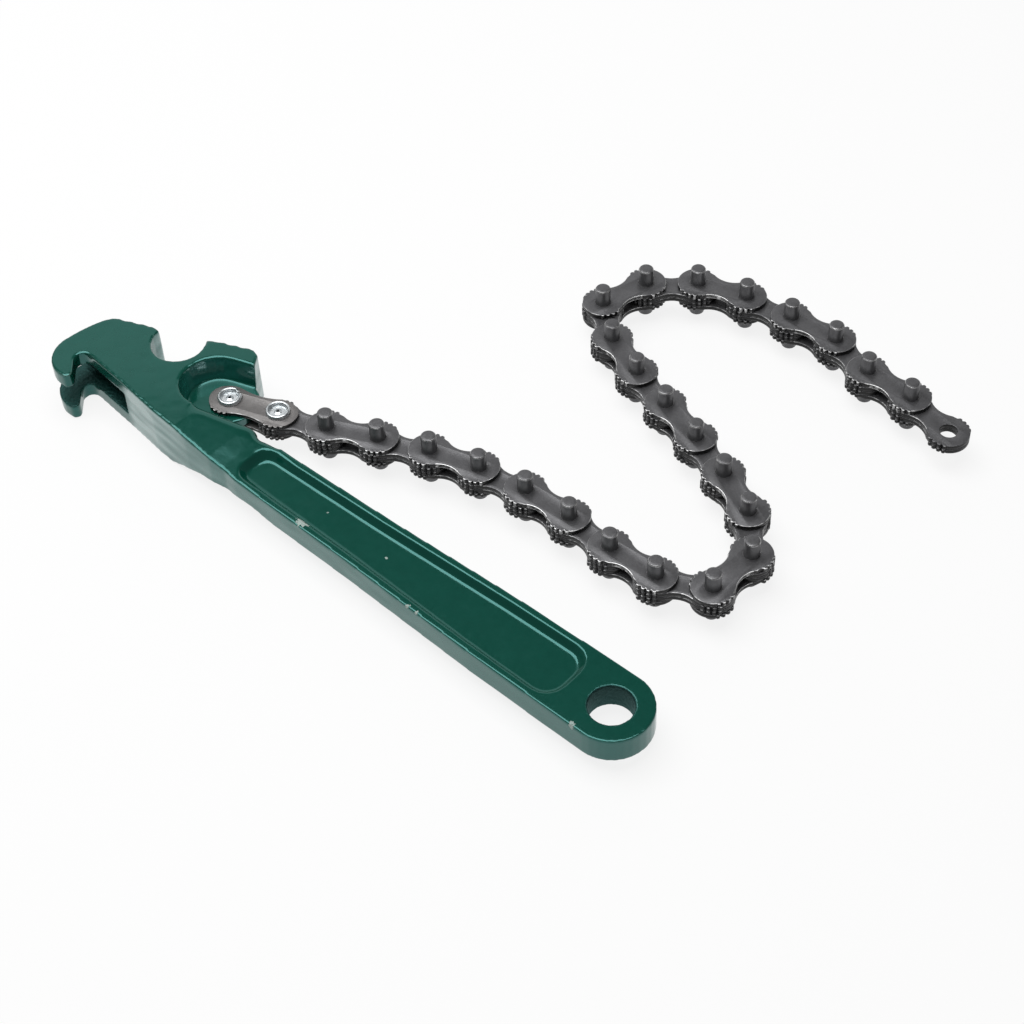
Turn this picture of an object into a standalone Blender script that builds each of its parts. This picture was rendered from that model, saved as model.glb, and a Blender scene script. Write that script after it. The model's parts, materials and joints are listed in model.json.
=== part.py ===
"""Chain wrench: a cast handle with a toothed double jaw and a forked claw, and a chain of toothed
links that is riveted to it. Lengths are in metres. +Z is up, +X runs along the grip towards its
hanging hole, +Y points to the chain's side, and the origin is on the flat underside of the head."""

import math

import bmesh
import bpy
from mathutils import Matrix, Vector

# Chain. One layer of the stack is a plate and the gap to the next plate.
PITCH = 0.015875
LINK_END_GAP = 0.0035
TOOTH_HEIGHT = 0.0003
WAIST_WIDTH = 0.0072
FIRST_WAIST_WIDTH = 0.0096
FIRST_THICKNESS = 0.001
FIRST_PLAIN_SIDE_SHARE = 0.82
PLATE_THICKNESS = 0.00135
PLATE_GAP = 0.00025
PIN_RADIUS = 0.00228
PIN_LENGTH = 0.0172
PIN_CHAMFER = 0.0004
RUNNING_CLEARANCE = 0.00005
RIVET_BORE_RADIUS = 0.0022
RIVET_WALL = 0.0005
RIVET_RIM_WIDTH = 0.00085
RIVET_RIM_THICKNESS = 0.00085
RIVET_PLAY = 0.0001
LINK_COUNT = 26
# Direction of each link in plan as it lies on the bench, in degrees from the grip's direction.
LINK_DIRECTIONS = (
    19, 18, 24, 22, 15, 8, 1, -5, 1, 24, 87, 131, 153,
    158, 162, 161, 157, 140, 74, 40, 17, 5, 2, -18, -4, -12,
)
TEETH_ON_LOBE_SIDE = 4
TEETH_FIRST_ANGLE = 70
TEETH_LAST_ANGLE = 132
SHOULDER_ANGLE = 50
LOBE_TIP_SIDES = 4
PLAIN_LOBE_SIDES = 9
PIN_SIDES = 12
RIVET_SIDES = 16

# Where the first rivet stands on the head.
PIVOT_X = 0.015
PIVOT_Y = 0.0141

# Head. The jaw line runs back from the pivot's side to the claw.
HEAD_THICKNESS = 0.0176
JAW_ANGLE = 22.3
JAW_LENGTH = 0.0485
JAW_AHEAD = 0.0036
JAW_WALL = 0.006
JAW_CORNER = 0.002
JAW_TOOTH_HEIGHT = 0.0004
JAW_TEETH_ON_PAD = 4
NOTCH_RADIUS = 0.00815
NOTCH_FROM_END = 0.025
NOTCH_SINK = 0.00405
NOTCH_SIDES = 16

# Claw and hook. Their places are shares of these two sizes from the jaw line's far end.
CLAW_LENGTH = 0.0125
CLAW_DEPTH = 0.0266
CLAW_BACK_SHARES = ((-0.1, -0.099), (-0.196, -0.238), (-0.268, -0.404))
CLAW_CENTRE_SHARE = (0.52, -0.61)
CLAW_RADIUS = 0.0104
CLAW_START_ANGLE = 172
CLAW_END_ANGLE = 264
CLAW_SIDES = 9
CLAW_TIP_SHARE = (0.6, -0.934)
CLAW_TIP_RADIUS = 0.0017
CLAW_TIP_SIDES = 5
CLAW_THICKNESS = 0.0048
HOOK_CENTRE_SHARE = (0.552, -0.682)
HOOK_RADIUS = 0.0026
HOOK_START_ANGLE = 225
HOOK_END_ANGLE = 80
HOOK_SIDES = 8
SLOT_BEYOND_HOOK = 0.0163
SLOT_BEHIND_HOOK = 0.007

# Pocket that lets the first link swing beside the web.
POCKET_ANGLE = 18.0
POCKET_OFFSET = 0.00115
POCKET_BACK = 0.0036
POCKET_FLOOR_CLEARANCE = 0.0025
POCKET_WALL_RUN = 0.00185
POCKET_FRONT_RUN = 0.0008
POCKET_BACK_SIDES = 12
WEB_CLEARANCE = 0.00088
WALL_LEDGE = 0.0003
WALL_START = 0.0065
WEB_START_ANGLE = -40
WEB_END_ANGLE = 78
WEB_SIDES = 8

# Neck and grip
NECK_START = 0.022
NECK_LENGTH = 0.036
NECK_BACK_SHARES = ((0.51, 0.67), (0.545, 0.61), (0.59, 0.62))
GRIP_LENGTH = 0.1357
GRIP_THICKNESS = 0.0082
GRIP_END_RADIUS = 0.0116
GRIP_END_SIDES = 16
# Half-width of the grip as shares of its end radius, at shares of its length.
GRIP_WIDTH_SHARES = (
    (0.0, 0.71), (0.03, 0.74), (0.104, 0.75), (0.354, 0.81), (0.693, 0.955), (0.9, 0.99),
)
# Front edge from the hook to the grip, as shares of the way along and of the grip's end radius.
FRONT_EDGE_SHARES = ((0.279, -0.5), (0.499, -0.647), (0.744, -0.741), (0.908, -0.759))
# Drop of the top and rise of the underside along the neck, as shares of its length and of the step.
TOP_SLOPE_SHARES = ((0.04, 0.0), (0.44, 0.43), (0.58, 0.76), (0.72, 0.92), (1.0, 1.0))
UNDERSIDE_SLOPE_SHARES = (
    (-0.08, 0.0), (0.08, 0.5), (0.33, 1.04), (0.61, 1.2), (0.9, 1.22), (1.15, 1.0),
)
HANGING_HOLE_RADIUS = 0.0062
HANGING_HOLE_SIDES = 24

# Panel sunk into both faces of the grip.
PANEL_START = 0.024
PANEL_TO_HOLE = 0.0130
PANEL_RIM = 0.0022
PANEL_DEPTH = 0.0022
PANEL_WALL_RUN = 0.0014
PANEL_START_CORNER = 0.0040
PANEL_END_CORNER = 0.0062

OVERRUN = 0.004
WELD_DISTANCE = 0.000001

LAYER = PLATE_THICKNESS + PLATE_GAP
MIDDLE_Z = HEAD_THICKNESS / 2
WEB_THICKNESS = 2 * LAYER - PLATE_GAP
LOBE_RADIUS = (PITCH - LINK_END_GAP) / 2
TOOTH_TIP_RADIUS = LOBE_RADIUS + TOOTH_HEIGHT
RIVET_RADIUS = RIVET_BORE_RADIUS + RIVET_WALL
RIVET_RIM_RADIUS = RIVET_RADIUS + RIVET_RIM_WIDTH
POCKET_HALF_WIDTH = TOOTH_TIP_RADIUS + POCKET_FLOOR_CLEARANCE
WEB_RADIUS = PITCH - LOBE_RADIUS - WEB_CLEARANCE
GRIP_END_X = PIVOT_X + NECK_START + GRIP_LENGTH
GRIP_STEP = (HEAD_THICKNESS - GRIP_THICKNESS) / 2


def polar(radius, degrees, centre=(0.0, 0.0)):
    angle = math.radians(degrees)
    return (centre[0] + radius * math.cos(angle), centre[1] + radius * math.sin(angle))


def arc(radius, start, end, steps, centre=(0.0, 0.0)):
    """Points of an arc from one angle to the other, in degrees, both ends included."""
    return [polar(radius, start + (end - start) * i / steps, centre) for i in range(steps + 1)]


def circle(radius, sides, centre=(0.0, 0.0)):
    return [polar(radius, 360 * i / sides, centre) for i in range(sides)]


def circumscribed(radius, sides):
    """Corner radius of a polygon whose flats stay outside a round pin of this radius."""
    return radius / math.cos(math.pi / sides)


def remove_everything():
    for item in list(bpy.data.objects):
        bpy.data.objects.remove(item)


def new_collection(name):
    collection = bpy.data.collections.new(name)
    bpy.context.scene.collection.children.link(collection)
    return collection


def new_material(name, colour, roughness, metallic):
    material = bpy.data.materials.new(name)
    material.use_nodes = True
    shader = material.node_tree.nodes["Principled BSDF"]
    shader.inputs["Base Color"].default_value = (*colour, 1.0)
    shader.inputs["Roughness"].default_value = roughness
    shader.inputs["Metallic"].default_value = metallic
    return material


def add_object(name, mesh, collection, parent=None):
    item = bpy.data.objects.new(name, mesh)
    collection.objects.link(item)
    item.parent = parent
    return item


def flat_mesh(name, outlines, thickness, collection):
    """A flat piece of these closed outlines, the later ones being holes in the first."""
    curve = bpy.data.curves.new(name, "CURVE")
    curve.dimensions = "2D"
    curve.fill_mode = "BOTH"
    curve.extrude = thickness / 2
    for points in outlines:
        spline = curve.splines.new("POLY")
        spline.points.add(len(points) - 1)
        for point, place in zip(spline.points, points):
            point.co = (place[0], place[1], 0.0, 1.0)
        spline.use_cyclic_u = True
    guide = add_object(name + "_outline", curve, collection)
    shape = guide.evaluated_get(bpy.context.evaluated_depsgraph_get())
    mesh = bpy.data.meshes.new_from_object(shape)
    mesh.name = name
    edit = bmesh.new()
    edit.from_mesh(mesh)
    bmesh.ops.remove_doubles(edit, verts=edit.verts, dist=WELD_DISTANCE)
    bmesh.ops.recalc_face_normals(edit, faces=edit.faces)
    edit.to_mesh(mesh)
    edit.free()
    bpy.data.objects.remove(guide)
    bpy.data.curves.remove(curve)
    return mesh


def lofted_mesh(name, low, high, low_z, high_z):
    """A closed loft between two outlines with as many points each, one above the other."""
    edit = bmesh.new()
    below = [edit.verts.new((x, y, low_z)) for x, y in low]
    above = [edit.verts.new((x, y, high_z)) for x, y in high]
    edit.faces.new(reversed(below))
    edit.faces.new(above)
    for i in range(len(below)):
        j = (i + 1) % len(below)
        edit.faces.new((below[i], below[j], above[j], above[i]))
    bmesh.ops.recalc_face_normals(edit, faces=edit.faces)
    mesh = bpy.data.meshes.new(name)
    edit.to_mesh(mesh)
    edit.free()
    return mesh


def cylinder_mesh(name, radius, depth, sides):
    edit = bmesh.new()
    bmesh.ops.create_cone(
        edit, cap_ends=True, segments=sides, radius1=radius, radius2=radius, depth=depth
    )
    mesh = bpy.data.meshes.new(name)
    edit.to_mesh(mesh)
    edit.free()
    return mesh


def add_cutter(name, mesh, cutters):
    cutter = add_object(name, mesh, cutters)
    cutter.hide_render = True
    cutter.display_type = "WIRE"
    return cutter


def add_boolean(item, cutter, operation):
    boolean = item.modifiers.new(cutter.name, "BOOLEAN")
    boolean.operation = operation
    boolean.object = cutter


def finished_mesh(item, name):
    """The item's mesh with its modifiers in it, for copies to share."""
    shape = item.evaluated_get(bpy.context.evaluated_depsgraph_get())
    mesh = bpy.data.meshes.new_from_object(shape)
    mesh.name = name
    return mesh


def shade(mesh, degrees=35):
    mesh.shade_smooth()
    mesh.set_sharp_from_angle(angle=math.radians(degrees))


def lobe_teeth():
    """Tooth tips, and the valleys between them, on one side of the lobe about the plate's origin."""
    steps = 2 * TEETH_ON_LOBE_SIDE
    step = (TEETH_LAST_ANGLE - TEETH_FIRST_ANGLE) / steps
    points = []
    for i in range(1, steps):
        radius = TOOTH_TIP_RADIUS if i % 2 else LOBE_RADIUS
        points.append(polar(radius, TEETH_FIRST_ANGLE + step * i))
    return points


def lobe_side(waist_width, toothed):
    """One side of a plate, from its waist round the lobe about the origin to its tip."""
    shoulder = polar((LOBE_RADIUS + waist_width / 2) / 2, SHOULDER_ANGLE, (LOBE_RADIUS / 4, 0.0))
    side = [(PITCH / 2, waist_width / 2), shoulder]
    if not toothed:
        return side + arc(LOBE_RADIUS, TEETH_FIRST_ANGLE, 180, PLAIN_LOBE_SIDES)
    return side + lobe_teeth() + arc(LOBE_RADIUS, TEETH_LAST_ANGLE, 180, LOBE_TIP_SIDES)


def plate_outline(upper, lower):
    """A figure-of-eight plate from the origin to one pitch along X, of a side above and one below."""
    left = upper + [(x, -y) for x, y in reversed(lower[:-1])]
    right = [(PITCH - x, y) for x, y in reversed(left[1:-1])]
    return left + right


def toothed_outline():
    side = lobe_side(WAIST_WIDTH, True)
    return plate_outline(side, side)


def first_outline():
    """The first link's outline: wide, and without teeth and narrower on the side above."""
    plain = lobe_side(FIRST_WAIST_WIDTH, False)
    upper = [(x, y * FIRST_PLAIN_SIDE_SHARE) for x, y in plain]
    return plate_outline(upper, lobe_side(FIRST_WAIST_WIDTH, True))


def plate_mesh(name, outline, thickness, hole_radii, collection):
    holes = [
        circle(circumscribed(radius, PIN_SIDES), PIN_SIDES, (PITCH * end, 0.0))
        for end, radius in enumerate(hole_radii)
        if radius
    ]
    mesh = flat_mesh(name, [outline] + holes, thickness, collection)
    shade(mesh)
    return mesh


def pin_mesh():
    """A pin with chamfered ends, its middle on the plate's origin."""
    mesh = cylinder_mesh("chain_pin", PIN_RADIUS, PIN_LENGTH, PIN_SIDES)
    edit = bmesh.new()
    edit.from_mesh(mesh)
    rims = [edge for edge in edit.edges if edge.verts[0].co.z * edge.verts[1].co.z > 0]
    bmesh.ops.bevel(edit, geom=rims, offset=PIN_CHAMFER, segments=1, affect="EDGES")
    edit.to_mesh(mesh)
    edit.free()
    return mesh


def pinned_plate_mesh(collection, cutters):
    """An outer plate below the links with its two pins pressed in, as one piece."""
    blank = plate_mesh("pinned_plate", toothed_outline(), PLATE_THICKNESS, (), collection)
    plate = add_object("pinned_plate", blank, collection)
    pins = []
    for end in range(2):
        pin = add_cutter("pin_at_end_%d" % (end + 1), pin_mesh(), cutters)
        pin.location = (PITCH * end, 0.0, 1.5 * LAYER)
        add_boolean(plate, pin, "UNION")
        pins.append(pin)
    bpy.context.view_layer.update()
    mesh = finished_mesh(plate, "pinned_plate")
    bpy.data.objects.remove(plate)
    for pin in pins:
        bpy.data.objects.remove(pin)
    shade(mesh)
    return mesh


def rivet_mesh(collection):
    """A hollow rivet with a flared rim at both ends, turned from its section."""
    half_grip = WEB_THICKNESS / 2 + PLATE_GAP + FIRST_THICKNESS + RIVET_PLAY
    half_length = half_grip + RIVET_RIM_THICKNESS
    rim_edge = half_grip + RIVET_RIM_THICKNESS / 2
    section = (
        (RIVET_RADIUS, half_length),
        (RIVET_RIM_RADIUS, rim_edge),
        (RIVET_RIM_RADIUS, half_grip),
        (RIVET_RADIUS, half_grip),
        (RIVET_RADIUS, -half_grip),
        (RIVET_RIM_RADIUS, -half_grip),
        (RIVET_RIM_RADIUS, -rim_edge),
        (RIVET_RADIUS, -half_length),
        (RIVET_BORE_RADIUS, -half_length),
        (RIVET_BORE_RADIUS, half_length),
    )
    corners = range(len(section))
    profile = bpy.data.meshes.new("rivet_section")
    profile.from_pydata(
        [(x, 0.0, z) for x, z in section], [(i, (i + 1) % len(section)) for i in corners], []
    )
    rivet = add_object("rivet_section", profile, collection)
    turn = rivet.modifiers.new("turn", "SCREW")
    turn.steps = RIVET_SIDES
    turn.render_steps = RIVET_SIDES
    turn.use_merge_vertices = True
    turn.merge_threshold = WELD_DISTANCE
    mesh = finished_mesh(rivet, "hollow_rivet")
    bpy.data.objects.remove(rivet)
    shade(mesh)
    return mesh


def jaw_point(back, out):
    """A point by its distance back along the jaw line from its end, and out of the line."""
    angle = math.radians(JAW_ANGLE)
    ahead = JAW_AHEAD - back
    away = POCKET_HALF_WIDTH + POCKET_WALL_RUN - POCKET_OFFSET + JAW_WALL + out
    x = PIVOT_X + ahead * math.cos(angle) - away * math.sin(angle)
    y = PIVOT_Y + ahead * math.sin(angle) + away * math.cos(angle)
    return (x, y)


def claw_point(shares):
    start_x, start_y = jaw_point(JAW_LENGTH, 0.0)
    return (start_x + CLAW_LENGTH * shares[0], start_y + CLAW_DEPTH * shares[1])


def claw_outline():
    """The claw's round outer edge, its tip and its hook, anticlockwise from the claw's back."""
    points = arc(
        CLAW_RADIUS, CLAW_START_ANGLE, CLAW_END_ANGLE, CLAW_SIDES, claw_point(CLAW_CENTRE_SHARE)
    )
    points += arc(
        CLAW_TIP_RADIUS, 270, HOOK_START_ANGLE + 180, CLAW_TIP_SIDES, claw_point(CLAW_TIP_SHARE)
    )
    points += arc(
        HOOK_RADIUS, HOOK_START_ANGLE, HOOK_END_ANGLE, HOOK_SIDES, claw_point(HOOK_CENTRE_SHARE)
    )
    return points


def jaw_pad(start, end):
    """A toothed pad of the jaw between two distances back along the jaw line."""
    steps = 2 * JAW_TEETH_ON_PAD
    points = []
    for i in range(steps + 1):
        out = 0.0 if i % 2 else -JAW_TOOTH_HEIGHT
        points.append(jaw_point(start + (end - start) * i / steps, out))
    return points


def notch_half_mouth():
    return math.sqrt(NOTCH_RADIUS**2 - (NOTCH_SINK - JAW_TOOTH_HEIGHT) ** 2)


def notch_arc():
    """The round notch between the two pads, from the pivot's side to the claw's side."""
    centre = jaw_point(NOTCH_FROM_END, -NOTCH_SINK)
    lift = math.degrees(math.asin((NOTCH_SINK - JAW_TOOTH_HEIGHT) / NOTCH_RADIUS))
    return arc(NOTCH_RADIUS, JAW_ANGLE + lift, JAW_ANGLE - 180 - lift, NOTCH_SIDES, centre)


def pocket_point(along, across):
    """A point by its distance along the pocket from the first rivet, and across it."""
    angle = math.radians(POCKET_ANGLE)
    x = PIVOT_X + along * math.cos(angle) - across * math.sin(angle)
    y = PIVOT_Y + along * math.sin(angle) + across * math.cos(angle)
    return (x, y)


def grip_half_width(x):
    """Half the grip's width at a place along X, straight between the places of the table."""
    share = (x - PIVOT_X - NECK_START) / GRIP_LENGTH
    table = list(GRIP_WIDTH_SHARES) + [(1.0, 1.0)]
    for (near, near_width), (far, far_width) in zip(table, table[1:]):
        if share <= far:
            across = (share - near) / (far - near)
            return GRIP_END_RADIUS * (near_width + across * (far_width - near_width))
    return GRIP_END_RADIUS


def grip_side(sign):
    places = [(PIVOT_X + NECK_START + GRIP_LENGTH * at, share) for at, share in GRIP_WIDTH_SHARES]
    return [(x, sign * GRIP_END_RADIUS * share) for x, share in places]


def front_edge(hook_x):
    """The head's front edge, from the hook to where the grip begins."""
    way = PIVOT_X + NECK_START - hook_x
    return [(hook_x + way * along, GRIP_END_RADIUS * across) for along, across in FRONT_EDGE_SHARES]


def handle_outline():
    """The handle's outline in plan at the level of the web, anticlockwise from the claw's back."""
    wall = WALL_LEDGE - POCKET_HALF_WIDTH - POCKET_OFFSET
    points = claw_outline()
    points += front_edge(points[-1][0])
    points += grip_side(-1)
    points += arc(GRIP_END_RADIUS, -90, 90, GRIP_END_SIDES, (GRIP_END_X, 0.0))
    points += reversed(grip_side(1))
    points += [
        (PIVOT_X + NECK_LENGTH * along, GRIP_END_RADIUS * across)
        for along, across in reversed(NECK_BACK_SHARES)
    ]
    points += [pocket_point(PITCH, wall), pocket_point(WALL_START, wall)]
    points += arc(WEB_RADIUS, WEB_START_ANGLE, WEB_END_ANGLE, WEB_SIDES, (PIVOT_X, PIVOT_Y))
    points.append(jaw_point(0.0, -JAW_CORNER))
    points += jaw_pad(JAW_CORNER, NOTCH_FROM_END - notch_half_mouth())
    points += notch_arc()[1:-1]
    points += jaw_pad(NOTCH_FROM_END + notch_half_mouth(), JAW_LENGTH)
    points += [claw_point(shares) for shares in CLAW_BACK_SHARES]
    return points


def handle_profile():
    """The handle's outline seen from its front, as (x, z): a thick head, sloped neck, thin grip."""
    head_end = jaw_point(JAW_LENGTH, 0.0)[0] - CLAW_LENGTH - OVERRUN
    grip_end = GRIP_END_X + GRIP_END_RADIUS + OVERRUN
    points = [(head_end, 0.0)]
    for along, rise in UNDERSIDE_SLOPE_SHARES:
        points.append((PIVOT_X + NECK_LENGTH * along, GRIP_STEP * rise))
    points += [(grip_end, GRIP_STEP), (grip_end, GRIP_STEP + GRIP_THICKNESS)]
    for along, drop in reversed(TOP_SLOPE_SHARES):
        points.append((PIVOT_X + NECK_LENGTH * along, HEAD_THICKNESS - GRIP_STEP * drop))
    points.append((head_end, HEAD_THICKNESS))
    return points


def profile_cutter(collection, cutters):
    """The side profile as a solid across the whole head, to keep what lies inside it."""
    width = 2 * (jaw_point(0.0, 0.0)[1] + CLAW_DEPTH)
    mesh = flat_mesh("handle_profile", [handle_profile()], width, collection)
    cutter = add_cutter("handle_profile", mesh, cutters)
    cutter.rotation_euler = (math.pi / 2, 0.0, 0.0)
    return cutter


def pocket_outline(half_width, front_half_width):
    """A pocket of these half-widths, round at the back and open past the neck."""
    far = PITCH + NECK_LENGTH
    points = []
    for turned_x, turned_y in arc(1.0, 90, 270, POCKET_BACK_SIDES):
        side = half_width if turned_y > 0 else front_half_width
        points.append(pocket_point(half_width * turned_x - POCKET_BACK, side * turned_y - POCKET_OFFSET))
    points.append(pocket_point(far, -POCKET_OFFSET - front_half_width))
    points.append(pocket_point(far, half_width - POCKET_OFFSET))
    return points


def pocket_cutter(sign, cutters):
    """The sloped-wall pocket above (sign 1) or below (sign -1) the web."""
    depth = (HEAD_THICKNESS - WEB_THICKNESS) / 2
    reach = (depth + OVERRUN) / depth
    floor = pocket_outline(POCKET_HALF_WIDTH, POCKET_HALF_WIDTH)
    mouth = pocket_outline(
        POCKET_HALF_WIDTH + POCKET_WALL_RUN * reach, POCKET_HALF_WIDTH + POCKET_FRONT_RUN * reach
    )
    mesh = lofted_mesh("pocket", floor, mouth, WEB_THICKNESS / 2, HEAD_THICKNESS / 2 + OVERRUN)
    return mirrored_cutter("pocket", mesh, sign, cutters)


def mirrored_cutter(name, mesh, sign, cutters):
    """A cutter about the middle plane, turned upside down where the sign is -1."""
    side = "above" if sign > 0 else "below"
    if sign < 0:
        mesh.transform(Matrix.Scale(-1, 4, Vector((0.0, 0.0, 1.0))))
        mesh.flip_normals()
    cutter = add_cutter("%s_%s" % (name, side), mesh, cutters)
    cutter.location.z = MIDDLE_Z
    return cutter


def panel_corner(place, radius, turns, inset):
    """A quarter turn of the panel's edge, its centre at this place along the grip."""
    half = grip_half_width(place) - PANEL_RIM - inset
    return [polar(radius, turn, (place, half - radius)) for turn in turns]


def panel_outline(inset):
    """The sunk panel's outline, this far inside the rim that runs round it."""
    start_corner = PANEL_START_CORNER - inset / 2
    end_corner = PANEL_END_CORNER - inset / 2
    start = PIVOT_X + PANEL_START + inset + start_corner
    end = GRIP_END_X - PANEL_TO_HOLE - inset - end_corner
    upper = panel_corner(start, start_corner, (180, 150, 120, 90), inset)
    for at, _ in GRIP_WIDTH_SHARES[3:-1]:
        x = PIVOT_X + NECK_START + GRIP_LENGTH * at
        upper.append((x, grip_half_width(x) - PANEL_RIM - inset))
    upper += panel_corner(end, end_corner, (90, 67.5, 45, 22.5, 0), inset)
    return upper + [(x, -y) for x, y in reversed(upper)]


def panel_cutter(sign, cutters):
    """The sunk panel's space in the grip's upper (sign 1) or lower (sign -1) face."""
    floor_z = GRIP_THICKNESS / 2 - PANEL_DEPTH
    reach = PANEL_DEPTH + GRIP_STEP
    floor = panel_outline(PANEL_WALL_RUN)
    mouth = panel_outline(PANEL_WALL_RUN * (1 - reach / PANEL_DEPTH))
    mesh = lofted_mesh("panel", floor, mouth, floor_z, floor_z + reach)
    return mirrored_cutter("panel", mesh, sign, cutters)


def slot_cutter(cutters):
    """The slot between the two claws, open at the front and at the claws' tip."""
    hook_x, hook_y = claw_point(HOOK_CENTRE_SHARE)
    right = hook_x + SLOT_BEYOND_HOOK
    left = hook_x - CLAW_LENGTH - OVERRUN
    back = hook_y + SLOT_BEHIND_HOOK
    front = hook_y - CLAW_DEPTH
    edit = bmesh.new()
    bmesh.ops.create_cube(edit, size=1.0)
    size = Vector((right - left, back - front, HEAD_THICKNESS - 2 * CLAW_THICKNESS))
    bmesh.ops.scale(edit, vec=size, verts=edit.verts)
    mesh = bpy.data.meshes.new("claw_slot")
    edit.to_mesh(mesh)
    edit.free()
    cutter = add_cutter("claw_slot", mesh, cutters)
    cutter.location = ((left + right) / 2, (back + front) / 2, MIDDLE_Z)
    return cutter


def bore_cutter(name, radius, sides, x, y, cutters):
    mesh = cylinder_mesh(name, radius, HEAD_THICKNESS + 2 * OVERRUN, sides)
    cutter = add_cutter(name, mesh, cutters)
    cutter.location = (x, y, MIDDLE_Z)
    return cutter


def build_handle(collection, cutters):
    """The cast handle: outline and profile first, then every pocket, slot and hole is cut."""
    mesh = flat_mesh("handle", [handle_outline()], HEAD_THICKNESS + OVERRUN, collection)
    mesh.transform(Matrix.Translation((0.0, 0.0, MIDDLE_Z)))
    shade(mesh)
    mesh.materials.append(new_material("green_enamel", (0.015, 0.095, 0.06), 0.3, 0.0))
    handle = add_object("handle", mesh, collection)
    add_boolean(handle, profile_cutter(collection, cutters), "INTERSECT")
    web_bore = circumscribed(RIVET_RADIUS + RUNNING_CLEARANCE, RIVET_SIDES)
    hole_radius = HANGING_HOLE_RADIUS
    cuts = [
        pocket_cutter(1, cutters),
        pocket_cutter(-1, cutters),
        slot_cutter(cutters),
        panel_cutter(1, cutters),
        panel_cutter(-1, cutters),
        bore_cutter("hanging_hole", hole_radius, HANGING_HOLE_SIDES, GRIP_END_X, 0.0, cutters),
        bore_cutter("web_bore", web_bore, RIVET_SIDES, PIVOT_X, PIVOT_Y, cutters),
    ]
    for cutter in cuts:
        add_boolean(handle, cutter, "DIFFERENCE")
    return handle


def chain_hinges(handle, collection):
    """One empty on each hinge axis, each the child of the one before, in the shape the chain lies in."""
    hinges = []
    before = 0.0
    for number, direction in enumerate(LINK_DIRECTIONS, start=1):
        parent = hinges[-1] if hinges else handle
        hinge = add_object("hinge_%02d" % number, None, collection, parent)
        hinge.location = (PITCH, 0.0, 0.0) if hinges else (PIVOT_X, PIVOT_Y, MIDDLE_Z)
        hinge.rotation_euler.z = math.radians(direction - before)
        hinge.empty_display_size = LOBE_RADIUS
        before = direction
        hinges.append(hinge)
    return hinges


def add_plate(name, mesh, hinge, height, collection):
    plate = add_object(name, mesh, collection, hinge)
    plate.location.z = height


def build_first_link(hinge, collection):
    """Two wide outer plates beside the web, held by the two hollow rivets."""
    hole = RIVET_RADIUS + RUNNING_CLEARANCE
    height = (WEB_THICKNESS + FIRST_THICKNESS) / 2 + PLATE_GAP
    mesh = plate_mesh("anchor_plate", first_outline(), FIRST_THICKNESS, (hole, hole), collection)
    mesh.materials.append(new_material("anchor_steel", (0.19, 0.18, 0.17), 0.45, 0.9))
    add_plate("link_01_top_plate", mesh, hinge, height, collection)
    add_plate("link_01_bottom_plate", mesh, hinge, -height, collection)
    rivet = rivet_mesh(collection)
    rivet.materials.append(new_material("zinc", (0.62, 0.65, 0.68), 0.25, 1.0))
    for end in range(2):
        item = add_object("rivet_%d" % (end + 1), rivet, collection, hinge)
        item.location.x = PITCH * end


def build_links(hinges, collection, cutters):
    """Inner pairs of plates, and outer pairs of which the lower one carries two pins."""
    hole = PIN_RADIUS + RUNNING_CLEARANCE
    rivet_hole = RIVET_RADIUS + RUNNING_CLEARANCE
    steel = new_material("chain_steel", (0.09, 0.09, 0.095), 0.45, 0.9)
    outline = toothed_outline()
    thickness = PLATE_THICKNESS
    first_inner = plate_mesh("first_inner_plate", outline, thickness, (rivet_hole, hole), collection)
    inner = plate_mesh("inner_plate", outline, thickness, (hole, hole), collection)
    outer = plate_mesh("outer_plate", outline, thickness, (hole, hole), collection)
    pinned = pinned_plate_mesh(collection, cutters)
    for mesh in (first_inner, inner, outer, pinned):
        mesh.materials.append(steel)
    build_first_link(hinges[0], collection)
    for number in range(2, LINK_COUNT + 1):
        hinge = hinges[number - 1]
        name = "link_%02d" % number
        if number % 2:
            add_plate(name + "_top_plate", outer, hinge, 1.5 * LAYER, collection)
            add_plate(name + "_pinned_plate", pinned, hinge, -1.5 * LAYER, collection)
        else:
            mesh = first_inner if number == 2 else inner
            add_plate(name + "_upper_plate", mesh, hinge, LAYER / 2, collection)
            add_plate(name + "_lower_plate", mesh, hinge, -LAYER / 2, collection)


def main():
    remove_everything()
    collection = new_collection("chain_wrench")
    cutters = new_collection("cutters")
    handle = build_handle(collection, cutters)
    hinges = chain_hinges(handle, collection)
    build_links(hinges, collection, cutters)


main()
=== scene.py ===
"""Dresses the chain wrench: an enamelled casting, a toothed steel chain and two zinc rivets.

Lengths are in metres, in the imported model's own frame. +Z is up, +X runs along the grip towards
its hanging hole, +Y points to the chain's side.
"""

import json
import math
import random

import bmesh
import bpy
import numpy as np
from bpy.props import FloatProperty, FloatVectorProperty, IntProperty, PointerProperty
from mathutils import Matrix, Vector, noise


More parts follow.
